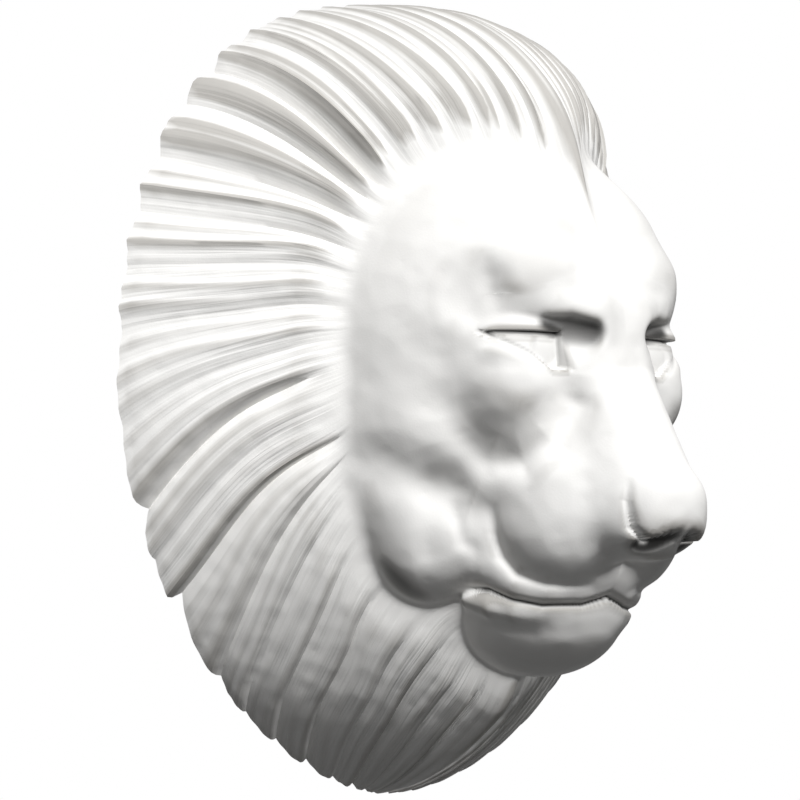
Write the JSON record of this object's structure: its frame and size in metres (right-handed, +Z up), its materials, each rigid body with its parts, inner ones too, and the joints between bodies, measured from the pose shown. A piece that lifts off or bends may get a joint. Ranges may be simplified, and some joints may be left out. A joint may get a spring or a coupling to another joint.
{
  "type": "lion head wall mask",
  "caption": "White cast wall mask of a lion's head with a combed mane, closed mouth and flat back, made to be fixed to a wall.",
  "frame": {"origin": "middle of the flat back, in the plane of the wall", "axes": "+Z up the face, -Y the way the lion looks, +Y into the wall, +X to the lion's left"},
  "size_m": [0.376, 0.22, 0.4009],
  "materials": {
    "plaster": "matt white cast plaster, lightly tooled"
  },
  "bodies": {
    "root": {"lion_mask": "plaster"}
  },
  "joints": []
}
